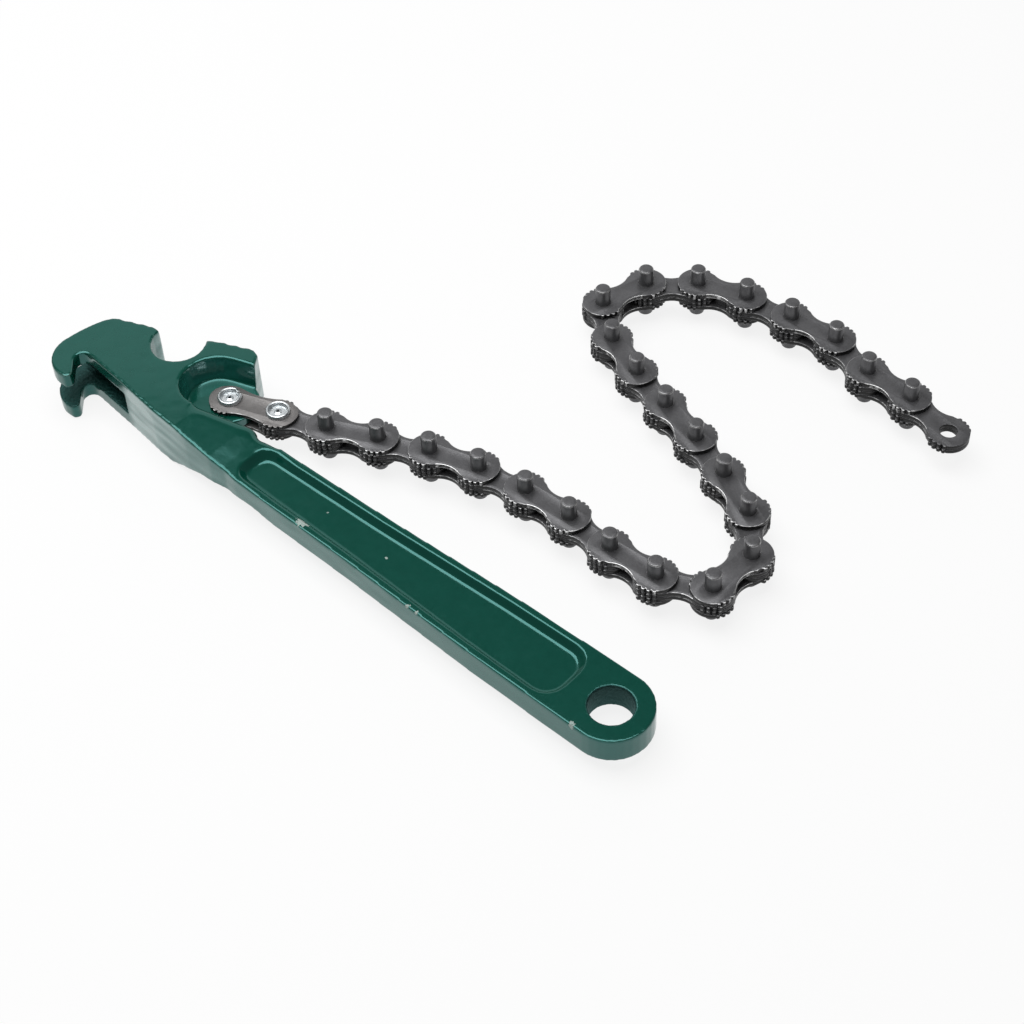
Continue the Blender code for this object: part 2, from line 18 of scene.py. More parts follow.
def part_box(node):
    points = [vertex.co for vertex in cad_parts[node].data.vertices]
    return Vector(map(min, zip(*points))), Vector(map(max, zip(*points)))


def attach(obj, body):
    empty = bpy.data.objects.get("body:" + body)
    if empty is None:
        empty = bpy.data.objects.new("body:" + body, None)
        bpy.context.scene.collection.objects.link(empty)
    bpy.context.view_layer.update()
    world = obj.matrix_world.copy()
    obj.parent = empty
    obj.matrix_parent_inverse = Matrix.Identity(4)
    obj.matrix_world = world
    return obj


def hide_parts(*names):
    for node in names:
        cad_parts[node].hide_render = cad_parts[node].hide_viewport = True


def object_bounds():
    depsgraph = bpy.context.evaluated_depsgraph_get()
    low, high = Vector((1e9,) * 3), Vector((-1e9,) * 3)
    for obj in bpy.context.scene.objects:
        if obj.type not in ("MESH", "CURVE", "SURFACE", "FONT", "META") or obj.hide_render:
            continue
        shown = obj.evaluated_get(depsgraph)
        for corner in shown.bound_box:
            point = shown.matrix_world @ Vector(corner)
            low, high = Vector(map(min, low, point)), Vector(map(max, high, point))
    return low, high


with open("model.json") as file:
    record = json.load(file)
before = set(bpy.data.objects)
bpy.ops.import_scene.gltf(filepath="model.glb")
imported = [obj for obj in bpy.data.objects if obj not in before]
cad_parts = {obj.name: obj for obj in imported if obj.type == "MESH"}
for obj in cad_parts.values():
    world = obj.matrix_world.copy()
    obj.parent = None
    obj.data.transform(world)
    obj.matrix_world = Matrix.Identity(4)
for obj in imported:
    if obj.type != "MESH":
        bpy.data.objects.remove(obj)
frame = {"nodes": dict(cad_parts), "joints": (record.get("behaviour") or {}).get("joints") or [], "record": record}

bl_info = {
    "name": "Chain wrench looks",
    "version": (1, 0, 0),
    "blender": (4, 5, 0),
    "location": "View3D > Sidebar > Wrench",
    "description": "Cast enamelled handle, toothed chain, rivets and a plain studio",
    "category": "Object",
}

CAD_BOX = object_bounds()
HINGES = [Vector(joint["pos_m"]) for joint in frame["joints"]]
OPENINGS = {item["name"]: item["box_m"] for item in frame["record"]["physics"]["openings"]}
PITCH = (HINGES[1] - HINGES[0]).length
FIRST_WAY = (HINGES[1] - HINGES[0]).normalized()
LAST_LINK = len(HINGES)

# Grip. The sunk panel lies between these two places along X.
PANEL_START_X = 0.036
PANEL_END_X = 0.166
PANEL_REACH_Y = 0.0105
# Pocket round the first rivet: how far its floor reaches ahead, behind and to the sides.
POCKET_AHEAD = 0.025
POCKET_BEHIND = 0.0028
POCKET_REACH = 0.0125
# Front rim of the pocket, along the first link and beside it.
RIM_START = -0.003
RIM_END = 0.022
RIM_ASIDE = 0.0122
RIM_REACH = 0.0012
RIM_FADE = 0.0022
# Worn corners of the jaw as (start, end, strength).
WORN_CORNERS = (
    ((-0.01734, 0.01736), (-0.0171, 0.0171), 1.0),
    ((-0.0034, 0.0229), (-0.003, 0.0231), 0.3),
)
CORNER_REACH = 0.001
CORNER_FADE = 0.002
# Hanging hole, painted with shade inside.
BORE_RADIUS = 0.0063
BORE_FADE = 0.0004
BORE_ROUGH_AND_SHADE_SHARE = 0.95
# Glaze and a painted reflection on upright walls: the tilt where they end, their levels along X and
# their streaks. The claw, which has none, lies within its reach along Y.
GLAZE_AND_PAINTED_REFLECTION_TILT = 0.45
GLAZE_AND_PAINTED_REFLECTION_FADE = 0.3
GLAZE_AND_PAINTED_REFLECTION_PLACES = (0.002, 0.022)
GLAZE_AND_PAINTED_REFLECTION_LEVELS = (1.0, 1.0, 0.3, 0.0)
GLAZE_AND_PAINTED_REFLECTION_STREAKS = 0.9
STREAK_SCALE = np.array((90.0, 90.0, 420.0))
STREAK_OFFSET = 11.0
CLAW_REACH_Y = 0.012
CLAW_FADE = 0.004
# Cast skin: how it is eased, and its noise as (scale, weight, offset).
SOLID_WELD = 0.000001
FADE = 0.001
SLOT_FADE = 0.0012
EASE_STEP = 0.5
LAST_ROUNDS = 2
NORMAL_ROUNDS = 10
EDGE_BEND = 0.12
WAVES = ((110.0, 1.0, 0.0), (260.0, 0.5, 7.0))
LUMPS = ((500.0, 0.5, 3.0), (1300.0, 1.0, 5.0))
# Bare spots in the enamel as (x, y, z, radius), and how far each one's field spreads.
CHIP_SPOTS = (
    (0.0674, -0.0069, 0.0129, 0.0016),
    (0.069, 0.0013, 0.0107, 0.0004),
    (0.0928, -0.0001, 0.0107, 0.0004),
    (0.1103, -0.0101, 0.0127, 0.0006),
    (0.1136, -0.0101, 0.0127, 0.0005),
    (0.1688, -0.0116, 0.0125, 0.0008),
)
CHIP_SPREAD = 1.8

# Rivets: the rolled rim, the mouth and cone inside it, and the split in one of them, in degrees
# and in shares of the rim's height.
RIM_GAP = 0.00002
RIM_FOOT_SHARE = 0.5
CROWN_SHARE = 0.5
CROWN_STEP = 15
MOUTH_TAPER = 0.00012
MOUTH_DEPTH = 0.00005
CONE_RISE = 0.0003
CONE_FOOT = 0.0012
RIVET_CREASE = 20
RIVET_SIDES = 72
SPLIT_ANGLE = 45.0
SPLIT_WIDTH = 10.0
LIP_ASIDE = -20.0
LIP_WIDTH = 14.0
SPLIT_IN = 0.5
SPLIT_DOWN = 0.62
LIP_IN = 0.4

# Outline of a chain plate. Teeth stand between two angles about each lobe, from the waist's side.
# A tooth has (share of its step, rise) points, and its height and lean vary.
TEETH_FIRST_ANGLE = 70
TEETH_LAST_ANGLE = 132
TOOTH_SHARES = ((0.0, -1.3), (0.15, -0.2), (0.3, 0.85), (0.5, 1.0), (0.7, 0.85), (0.85, -0.2))
TOOTH_HEIGHTS = (0.75, 1.0)
TOOTH_LEAN = 0.06
FAR_SIDE_SHARE = 0.82
FLANK_STEPS = 10
TIP_STEPS = 8
HOLE_SIDES = 32
BEVEL_STEPS = 1
LEAST_STEP = 0.00002
PLATE_WELD = 0.000002
# Pins: how their chamfers vary, the low dome on their ends, and the corner's points as shares of
# the chamfer, in from the side and down from the end.
PIN_SIDES = 40
PIN_EDGES = (0.8, 1.15)
PIN_DOME = (0.5, 0.025)
PIN_CORNER = ((1.15, 0.25), (1.0, 0.35), (0.35, 1.0), (0.0, 1.6))
# How far from the chain's middle plates lie, in layers.
INNER_LAYERS = 0.5
OUTER_LAYERS = 1.5
SNUG_GAP = 0.00004
# Faces of the chain by their tilt, and how much rubbed wear and painted highlight each kind takes;
# top plates take more than low ones.
WALL_TILT = 0.2
EASED_TILT = 0.97
FLAT_TILT = 0.995
CREASE = 38
TIP_SHARE = 0.3
TIP_WEAR_AND_HIGHLIGHT = 2.6
TIP_WALL_WEAR_AND_HIGHLIGHT = 0.9
TOP_WEAR_AND_HIGHLIGHT = 0.55
LOW_WEAR_AND_HIGHLIGHT = 0.21
PIN_WEAR_AND_HIGHLIGHT = 0.6
FIRST_SEED = 40

# Shader values. A grain is (scale, low, high), a wear and highlight mask (scale, break, limit,
# softness), and a bump (strength, distance).
NODE_STEP = (200, -180)
SHADER_X = 1600
OUTPUT_X = 1900
GRAIN_DETAIL = 4.0
GRAIN_ROUGHNESS = 0.62
GRAIN_RANGE = (0.3, 0.7)
WEAR_DETAIL = 3.0
NOISE_MIDDLE = 0.5
ENAMEL_DRIFT = (240.0, 0.0, 0.24)
ENAMEL_GLOSS = (700.0, 0.1, 0.15)
ENAMEL_PEEL = (420.0, 0.0, 1.0)
ENAMEL_PITS = (900.0, 0.0, 1.0)
# Paling of convex rims: thin enamel with a painted highlight.
ENAMEL_THIN_AND_HIGHLIGHT = (350.0, 0.12, 0.5, 0.5)
ENAMEL_CHIPS = (1100.0, 2.2, 0.35, 0.08)
PEEL_BUMP = (0.15, 0.00006)
PIT_BUMP = (0.9, 0.0004)
CHIP_BUMP = (0.8, 0.0001)
# Rough skin in the claw's slot and the hanging hole, whose colour is a painted shade.
SLOT_ROUGHNESS = 0.62
SLOT_METAL = 0.4
CHIP_ROUGHNESS = 0.55
GLAZE_IOR = 1.8
GLAZE_ROUGHNESS = 0.12
# Chain steel has a dark skin that is only partly metal, and cut walls painted darker as shade. Its
# tones are shares of its colour.
STEEL_MOTTLE = (300.0, 0.0, 0.5)
STEEL_SPECK = (0.0, 0.42)
STEEL_SHEEN = (900.0, 0.07)
STEEL_WEAR_AND_HIGHLIGHT = (700.0, 0.9, 0.4, 0.4)
STEEL_BUMP = (0.6, 0.00003)
STEEL_SPECULAR = 0.25
CHAIN_STEEL = (0.36, 2200.0)
FIRST_STEEL = (0.4, 2000.0)
DARK_SHARE = 0.5
PALE_SHARE = 1.5
SHADED_WALL_SHARE = 0.1
SKIN_METAL = 0.5
CUT_METAL = 0.1
ZINC_CLOUD = (500.0, 0.0, 0.6)
ZINC_SHEEN = (800.0, 0.22, 0.34)
ZINC_BUMP = (0.25, 0.00004)
ZINC_GREY = 0.7
ZINC_METAL = 0.95

# Stage.
FLOOR_GAP = 0.0001
SENSOR_WIDTH = 36.0
NEAR_CLIP = 0.01


def property_maker(kind, **fixed):
    """A maker of one kind of property from its name, its description and its default."""

    def make(name, description, default, **more):
        return kind(name=name, description=description, default=default, **fixed, **more)

    return make


rounds_value = property_maker(IntProperty, min=0)
length_value = property_maker(FloatProperty, unit="LENGTH", precision=6)
power_value = property_maker(FloatProperty, unit="POWER")
angle_value = property_maker(FloatProperty, subtype="ANGLE")
colour_value = property_maker(FloatVectorProperty, subtype="COLOR", size=3, min=0.0, max=1.0)
place_value = property_maker(FloatVectorProperty, subtype="TRANSLATION", size=3, unit="LENGTH")
sides_value = property_maker(FloatVectorProperty, size=2, unit="LENGTH")


class HandleLooks(bpy.types.PropertyGroup):
    voxel: length_value("Voxel", "Fineness of the cast surface", 0.0003, min=0.0002, max=0.002)
    edge_rounds: rounds_value("Edge rounds", "How often every corner is eased", 3)
    fillet_rounds: rounds_value(
        "Fillet rounds", "How often the sunk floors' corners are filled", 6
    )
    rim_rounds: rounds_value("Rim rounds", "How often the pocket's front rim is eased", 190)
    corner_rounds: rounds_value("Corner rounds", "How often the jaw's worn corner is eased", 90)
    unevenness: length_value("Unevenness", "Depth of the slow waves in the cast skin", 0.00003)
    slot_lumps: length_value(
        "Slot lumps", "Depth of the rough skin inside the claw's slot", 0.00016
    )
    enamel: colour_value("Enamel", "Colour of the baked enamel", (0.0012, 0.05, 0.033))
    enamel_thin: colour_value(
        "Thin enamel", "Colour of the enamel where it has run thin", (0.005, 0.08, 0.056)
    )
    # Paler colour of convex rims: thin enamel with a painted highlight.
    rim_enamel_and_highlight: colour_value(
        "Rim enamel", "Colour of the enamel on rubbed rims", (0.07, 0.13, 0.11)
    )
    # Painted reflection: the paler colour of upright walls.
    painted_wall_reflection: colour_value(
        "Wall enamel", "Colour of the milky enamel on upright walls", (0.02, 0.14, 0.12)
    )
    # Painted shade: the dark colour inside the claw's slot and the hanging hole.
    slot: colour_value(
        "Slot", "Colour of the rough enamel inside the claw's slot", (0.003, 0.018, 0.016)
    )
    tint: colour_value("Tint", "Colour of the enamel's reflections", (0.4, 1.0, 0.97))
    chip: colour_value(
        "Chip", "Colour of the casting where the enamel is chipped", (0.34, 0.37, 0.34)
    )


class ChainLooks(bpy.types.PropertyGroup):
    thickness: length_value("Plate thickness", "Thickness of a chain plate", 0.0014)
    layer: length_value("Layer", "Distance between the middles of stacked plates", 0.0016)
    lobe: length_value("Lobe radius", "Radius of a plate's round end", 0.0061875)
    tooth: length_value("Tooth height", "Height of a tooth above the round end", 0.00031)
    teeth: IntProperty(
        name="Teeth", description="Teeth on one side of a round end", default=4, min=1
    )
    waist: length_value("Waist", "Width of a plate at its middle", 0.0072)
    first_waist: length_value(
        "First waist", "Width of the first link's plates at their middle", 0.0096
    )
    first_thickness: length_value(
        "First thickness", "Thickness of the first link's plates", 0.0011
    )
    first_height: length_value(
        "First height", "Height of the first link's plates from the web's middle", 0.00221
    )
    edge: length_value("Edge", "Radius of a plate's worn edge", 0.00016)
    pin_radius: length_value("Pin radius", "Radius of a chain pin", 0.00228)
    pin_length: length_value("Pin length", "Length of a chain pin", 0.0172)
    pin_edge: length_value("Pin edge", "Width of the chamfer on a pin's ends", 0.00026)
    end_hole: length_value("End hole", "Radius of the open hole in the last link", 0.0026)
    rivet_hole: length_value("Rivet hole", "Radius of a plate's hole for a rivet", 0.00275)
    rivet_mouth: length_value(
        "Rivet mouth", "Radius of a rivet's open mouth inside its rim", 0.00265
    )
    rivet_bore: length_value("Rivet bore", "Radius of the hole down a rivet", 0.0005)
    rivet_wall: length_value(
        "Rivet wall", "Outer radius of a rivet between the plates", 0.0027
    )
    rim_radius: length_value("Rim radius", "Outer radius of a rivet's rolled rim", 0.00362)
    rim_height: length_value(
        "Rim height", "Height of a rivet's rolled rim above its plate", 0.00115
    )
    steel: colour_value("Chain steel", "Colour of the dark oiled steel", (0.122, 0.122, 0.127))
    first_steel: colour_value(
        "First link steel", "Colour of the paler first link", (0.19, 0.183, 0.18)
    )
    # Rubbed wear with a painted highlight: the pale colour of edges, tooth tips and pin chamfers.
    bright: colour_value(
        "Worn steel", "Colour of the steel where edges are rubbed bright", (0.62, 0.62, 0.62)
    )
    zinc: colour_value("Zinc", "Colour of the plated rivets", (0.78, 0.82, 0.84))


class StageLooks(bpy.types.PropertyGroup):
    floor: colour_value("Floor", "Colour of the floor", (0.9, 0.9, 0.9))
    floor_glow: FloatProperty(
        name="Floor glow", description="Share of the floor's look that takes no shadow",
        default=0.84, min=0.0, max=1.0, subtype="FACTOR",
    )
    floor_size: length_value("Floor size", "Side of the square floor", 8.0)
    sky: FloatProperty(
        name="Sky", description="Level of the even light from all round", default=0.14, min=0.0
    )
    overhead_power: power_value("Overhead power", "Power of the lamp above the object", 8.0)
    overhead_place: place_value(
        "Overhead place", "Where the lamp above hangs, from the object's middle",
        (-0.22, -0.1, 0.8),
    )
    overhead_size: sides_value("Overhead size", "Sides of the lamp above", (1.0, 0.7))
    back_power: power_value("Back power", "Power of the lamp behind the object", 2.15)
    back_place: place_value(
        "Back place", "Where the lamp behind stands, from the object's middle",
        (-0.671, 0.701, 0.485),
    )
    back_size: sides_value("Back size", "Sides of the lamp behind", (1.6, 0.74))
    camera_place: place_value(
        "Camera place", "Where the camera stands", (0.37718, -0.24688, 0.44032)
    )
    camera_tilt: angle_value(
        "Camera tilt", "Angle up from looking straight down", math.radians(42.2)
    )
    camera_turn: angle_value(
        "Camera turn", "Turn of the camera about the vertical", math.radians(43.75)
    )
    camera_roll: angle_value("Camera roll", "Lean of the picture", math.radians(-2.616))
    lens: FloatProperty(
        name="Lens", description="Focal length on a 36 mm sensor, in millimetres", default=73.41
    )


# Mesh helpers

def new_piece(name, mesh):
    piece = bpy.data.objects.new(name, mesh)
    bpy.context.scene.collection.objects.link(piece)
    return piece


def finished_mesh(item, name):
    """The item's mesh with its modifiers in it."""
    graph = bpy.context.evaluated_depsgraph_get()
    mesh = bpy.data.meshes.new_from_object(item.evaluated_get(graph))
    mesh.name = name
    return mesh


def weld(mesh, distance):
    edit = bmesh.new()
    edit.from_mesh(mesh)
    bmesh.ops.remove_doubles(edit, verts=edit.verts, dist=distance)
    bmesh.ops.recalc_face_normals(edit, faces=edit.faces)
    edit.to_mesh(mesh)
    edit.free()


def read_all(items, name, width, kind=float):
    """A value of every item of a mesh, one row for each."""
    values = np.zeros(len(items) * width, dtype=kind)
    items.foreach_get(name, values)
    return values.reshape(-1, width)


def points_of(mesh):
    return read_all(mesh.vertices, "co", 3)


def normals_of(mesh):
    return read_all(mesh.vertex_normals, "vector", 3)


def place_points(mesh, points):
    mesh.vertices.foreach_set("co", points.ravel())
    mesh.update()


def neighbour_mean(values, edges):
    """Mean over each vertex's neighbours of a value, or of each column of several."""
    count = len(values)
    tips = np.concatenate((edges[:, 0], edges[:, 1]))
    tails = np.concatenate((edges[:, 1], edges[:, 0]))
    degree = np.maximum(np.bincount(tips, minlength=count), 1)
    columns = [
        np.bincount(tips, weights=column[tails], minlength=count) / degree
        for column in values.reshape(count, -1).T
    ]
    return np.stack(columns, axis=1).reshape(values.shape)


def ease(mesh, edges, rounds, share=None, side=0):
    """Moves points towards their neighbours' mean, so that corners turn round.

    With side 1 only hollow corners fill, and with side -1 only outer ones wear down.
    """
    points = points_of(mesh)
    share = np.ones(len(points)) if share is None else share
    used, near = np.unique(edges[(share[edges] > 0.0).any(axis=1)], return_inverse=True)
    near = near.reshape(-1, 2)
    for turn in range(rounds):
        if side and turn % NORMAL_ROUNDS == 0:
            place_points(mesh, points)
            normals = normals_of(mesh)[used]
        pull = neighbour_mean(points[used], near) - points[used]
        step = EASE_STEP * share[used]
        if side:
            outward = np.einsum("ij,ij->i", pull, normals) * side
            step = np.where(outward > 0.0, step, 0.0)
        points[used] += pull * step[:, None]
    place_points(mesh, points)


def store_value(mesh, name, values, domain="POINT"):
    attribute = mesh.attributes.new(name, "FLOAT", domain)
    attribute.data.foreach_set("value", values.astype(np.float32))


def noise_at(points, scale, offset=0.0, share=None):
    """Noise at each point, or only where a share is above 0."""
    shift = Vector((offset, offset, offset))
    values = np.zeros(len(points))
    for i in range(len(points)) if share is None else np.flatnonzero(share):
        values[i] = noise.noise(Vector(points[i]) * scale + shift)
    return values


def layered_noise(points, layers, share=None):
    """A weighted sum of noises, each of them a layer of (scale, weight, offset)."""
    return sum(weight * noise_at(points, scale, offset, share) for scale, weight, offset in layers)


def box_share(points, low, high, fade):
    """1 inside a box, falling to 0 over a distance outside it."""
    outside = np.maximum(np.maximum(np.array(low) - points, points - np.array(high)), 0.0)
    distance = np.linalg.norm(outside, axis=1)
    return np.clip(1.0 - distance / fade, 0.0, 1.0)


def run_share(points, start, end, reach, fade):
    """1 near a line in plan between two places, falling to 0 beyond its reach."""
    start, end = np.array(start[:2]), np.array(end[:2])
    way = end - start
    along = np.clip((points[:, :2] - start) @ way / (way @ way), 0.0, 1.0)
    distance = np.linalg.norm(points[:, :2] - start - along[:, None] * way, axis=1)
    return np.clip(1.0 - (distance - reach) / fade, 0.0, 1.0)


# Shader helpers

def new_node(tree, kind, place, **settings):
    node = tree.nodes.new(kind)
    node.location = (place[0] * NODE_STEP[0], place[1] * NODE_STEP[1])
    for name, value in settings.items():
        setattr(node, name, value)
    return node


def feed(tree, node, values):
    """Gives a node's inputs another node's socket, a plain value or a colour each."""
    for label, value in values.items():
        socket = node.inputs[label]
        if isinstance(value, bpy.types.NodeSocket):
            tree.links.new(value, socket)
        else:
            socket.default_value = value if isinstance(value, float) else (*value, 1.0)


def calculate(tree, place, operation, *values, **settings):
    """The result of arithmetic on sockets and plain values."""
    node = new_node(tree, "ShaderNodeMath", place, operation=operation, **settings)
    feed(tree, node, dict(enumerate(values)))
    return node.outputs[0]


def new_group(name, values, results):
    """A shader node group of a vector and named values, with its given sockets and its end."""
    group = bpy.data.node_groups.new(name, "ShaderNodeTree")
    group.interface.new_socket(name="Vector", in_out="INPUT", socket_type="NodeSocketVector")
    for way, labels in (("INPUT", values), ("OUTPUT", results)):
        for label in labels:
            group.interface.new_socket(name=label, in_out=way, socket_type="NodeSocketFloat")
    start = new_node(group, "NodeGroupInput", (0, 0))
    return group, start.outputs, new_node(group, "NodeGroupOutput", (6, 0))


def grain_group():
    """Fine uneven grain about a middle value, and a height for bumps."""
    group, given, end = new_group("surface_grain", ("Scale", "Low", "High"), ("Value", "Height"))
    field = new_node(group, "ShaderNodeTexNoise", (2, 0))
    feed(group, field, {
        "Vector": given["Vector"],
        "Scale": given["Scale"],
        "Detail": GRAIN_DETAIL,
        "Roughness": GRAIN_ROUGHNESS,
    })
    spread = new_node(group, "ShaderNodeMapRange", (4, 0))
    feed(group, spread, {
        "Value": field.outputs["Fac"],
        "From Min": GRAIN_RANGE[0],
        "From Max": GRAIN_RANGE[1],
        "To Min": given["Low"],
        "To Max": given["High"],
    })
    feed(group, end, {"Value": spread.outputs["Result"], "Height": field.outputs["Fac"]})
    return group


def wear_and_highlight_group():
    """A mask of rubbed spots and painted highlights: where a stored edge value, broken up by noise,
    passes a limit.
    """
    labels = ("Edge", "Scale", "Break", "Limit", "Softness")
    group, given, end = new_group("wear_and_highlight_mask", labels, ("Mask",))
    field = new_node(group, "ShaderNodeTexNoise", (1, 1))
    feed(group, field, {"Vector": given["Vector"], "Scale": given["Scale"], "Detail": WEAR_DETAIL})
    centred = calculate(group, (2, 1), "SUBTRACT", field.outputs["Fac"], NOISE_MIDDLE)
    broken = calculate(group, (3, 1), "MULTIPLY_ADD", centred, given["Break"], given["Edge"])
    top = calculate(group, (4, 1), "ADD", given["Limit"], given["Softness"])
    ramp = new_node(group, "ShaderNodeMapRange", (5, 0), interpolation_type="SMOOTHSTEP")
    feed(group, ramp, {"Value": broken, "From Min": given["Limit"], "From Max": top})
    feed(group, end, {"Mask": ramp.outputs["Result"]})
    return group


def shared_group(name):
    makers = {"surface_grain": grain_group, "wear_and_highlight_mask": wear_and_highlight_group}
    return bpy.data.node_groups.get(name) or makers[name]()


def add_grain(tree, place, vector, values):
    """The shared grain with its (scale, low, high)."""
    node = new_node(tree, "ShaderNodeGroup", place, node_tree=shared_group("surface_grain"))
    scale, low, high = values
    feed(tree, node, {"Vector": vector, "Scale": scale, "Low": low, "High": high})
    return node


def add_wear_and_highlight(tree, place, vector, edge, values):
    """The mask of the shared wear and painted highlight, from a stored edge value and (scale, break,
    limit, softness).
    """
    node = new_node(tree, "ShaderNodeGroup", place, node_tree=shared_group("wear_and_highlight_mask"))
    scale, unevenness, limit, softness = values
    feed(tree, node, {"Vector": vector, "Edge": edge, "Scale": scale, "Break": unevenness})
    feed(tree, node, {"Limit": limit, "Softness": softness})
    return node.outputs["Mask"]


def add_bump(tree, place, height, values, **settings):
    """A bump of (strength, distance) from a height."""
    node = new_node(tree, "ShaderNodeBump", place, **settings)
    strength, distance = values
    feed(tree, node, {"Height": height, "Strength": strength, "Distance": distance})
    return node


def mix(tree, place, share, first, second, kind="RGBA"):
    """A mix of two colours or values, each a socket or a plain one, by a share's socket."""
    node = new_node(tree, "ShaderNodeMix", place, data_type=kind)
    feed(tree, node, {"Factor": share, "A": first, "B": second})
    return node.outputs["Result"]


def mix_shaders(tree, place, share, first, second):
    node = new_node(tree, "ShaderNodeMixShader", place)
    feed(tree, node, {0: share, 1: first.outputs[0], 2: second.outputs[0]})
    return node


def new_material(name):
    material = bpy.data.materials.new(name)
    material.use_nodes = True
    tree = material.node_tree
    shader = tree.nodes["Principled BSDF"]
    shader.location = (SHADER_X, 0)
    tree.nodes["Material Output"].location = (OUTPUT_X, 0)
    return material, tree, shader


def stored(tree, name, place):
    return new_node(tree, "ShaderNodeAttribute", place, attribute_name=name).outputs["Fac"]


def piece_vector(tree):
    """The piece's own coordinates, moved by a random step so that no two pieces match."""
    where = new_node(tree, "ShaderNodeTexCoord", (-3, 0))
    info = new_node(tree, "ShaderNodeObjectInfo", (-3, 2))
    shift = new_node(tree, "ShaderNodeVectorMath", (-1, 0), operation="ADD")
    feed(tree, shift, {0: where.outputs["Object"], 1: info.outputs["Random"]})
    return shift.outputs["Vector"]


def enamel_material(looks):
    """Glossy baked enamel: slow colour drift, paler on rims and walls, chipped here and there.

    The rims are paler from thin enamel and a painted highlight, the walls from a painted reflection,
    and the claw's slot and the hanging hole are darkened with painted shade.
    """
    material, tree, shader = new_material("green_enamel")
    vector = new_node(tree, "ShaderNodeTexCoord", (-3, 0)).outputs["Object"]
    edge = stored(tree, "edge", (-3, 3))
    chip = stored(tree, "chip", (-3, 4))
    rough_and_shaded = stored(tree, "rough_and_shaded", (-3, 5))
    glaze_and_painted_reflection = stored(tree, "glaze_and_painted_reflection", (-3, 6))
    drift = add_grain(tree, (0, 0), vector, ENAMEL_DRIFT).outputs["Value"]
    # Convex rims: thin enamel with a painted highlight.
    thin_and_highlight = add_wear_and_highlight(tree, (0, 2), vector, edge, ENAMEL_THIN_AND_HIGHLIGHT)
    bare = add_wear_and_highlight(tree, (0, 4), vector, chip, ENAMEL_CHIPS)
    tone = mix(tree, (2, 0), drift, looks.enamel, looks.enamel_thin)
    edged = mix(tree, (3, 0), thin_and_highlight, tone, looks.rim_enamel_and_highlight)
    # Painted reflection on upright walls, with the glaze.
    with_wall_reflection = mix(tree, (3, 1), glaze_and_painted_reflection, edged, looks.painted_wall_reflection)
    # Painted shade in the claw's slot and the hanging hole.
    dark = mix(tree, (3, 2), rough_and_shaded, with_wall_reflection, looks.slot)
    gloss = add_grain(tree, (0, 6), vector, ENAMEL_GLOSS).outputs["Value"]
    dulled = mix(tree, (2, 6), rough_and_shaded, gloss, SLOT_ROUGHNESS, "FLOAT")
    peel = add_grain(tree, (0, 8), vector, ENAMEL_PEEL).outputs["Height"]
    skin = add_bump(tree, (3, 8), peel, PEEL_BUMP)
    pits = add_grain(tree, (0, 10), vector, ENAMEL_PITS).outputs["Height"]
    sand = add_bump(
        tree, (3, 10), mix(tree, (2, 10), rough_and_shaded, NOISE_MIDDLE, pits, "FLOAT"), PIT_BUMP
    )
    flaked = add_bump(tree, (4, 8), bare, CHIP_BUMP, invert=True)
    feed(tree, sand, {"Normal": skin.outputs["Normal"]})
    feed(tree, flaked, {"Normal": sand.outputs["Normal"]})
    feed(tree, shader, {
        "Base Color": mix(tree, (4, 0), bare, dark, looks.chip),
        "Roughness": mix(tree, (4, 6), bare, dulled, CHIP_ROUGHNESS, "FLOAT"),
        "Metallic": mix(tree, (4, 7), rough_and_shaded, 0.0, SLOT_METAL, "FLOAT"),
        "Normal": flaked.outputs["Normal"],
        "Coat Weight": glaze_and_painted_reflection,
        "Coat IOR": GLAZE_IOR,
        "Coat Roughness": GLAZE_ROUGHNESS,
        "Specular IOR Level": 1.0,
        "Specular Tint": looks.tint,
    })
    return material


def steel_material(name, base, bright, values):
    """Dark steel with a fine grain, rubbed bright with a painted highlight along its edges, and rough
    and painted dark with shade where it was cut.

    The values are its (roughness, scale of its specks).
    """
    roughness, speck_scale = values
    material, tree, shader = new_material(name)
    vector = piece_vector(tree)
    edge = stored(tree, "edge", (-3, 3))
    cut_and_shaded_wall = stored(tree, "cut_and_shaded_wall", (-3, 4))
    mottle = add_grain(tree, (0, 0), vector, STEEL_MOTTLE).outputs["Value"]
    speck = add_grain(tree, (0, 2), vector, (speck_scale, *STEEL_SPECK))
    # Rubbed wear with a painted highlight along the edges.
    worn = add_wear_and_highlight(tree, (0, 4), vector, edge, STEEL_WEAR_AND_HIGHLIGHT)
    shares = (DARK_SHARE, SHADED_WALL_SHARE, PALE_SHARE)
    dark, painted_wall_shade, pale = (tuple(min(1.0, share * part) for part in base) for share in shares)
    tone = mix(tree, (2, 0), mottle, tuple(base), pale)
    specked = mix(tree, (3, 0), speck.outputs["Value"], tone, dark)
    # Cut walls painted dark as shade.
    with_wall_shade = mix(tree, (4, 0), cut_and_shaded_wall, specked, painted_wall_shade)
    scale, spread = STEEL_SHEEN
    sheen = add_grain(tree, (0, 6), vector, (scale, roughness - spread, roughness + spread))
    shine = mix(tree, (4, 2), cut_and_shaded_wall, SKIN_METAL, CUT_METAL, "FLOAT")
    bump = add_bump(tree, (4, 8), speck.outputs["Height"], STEEL_BUMP)
    feed(tree, shader, {
        "Base Color": mix(tree, (5, 0), worn, with_wall_shade, bright),
        "Roughness": sheen.outputs["Value"],
        "Metallic": mix(tree, (5, 2), worn, shine, 1.0, "FLOAT"),
        "Specular IOR Level": STEEL_SPECULAR,
        "Normal": bump.outputs["Normal"],
    })
    return material


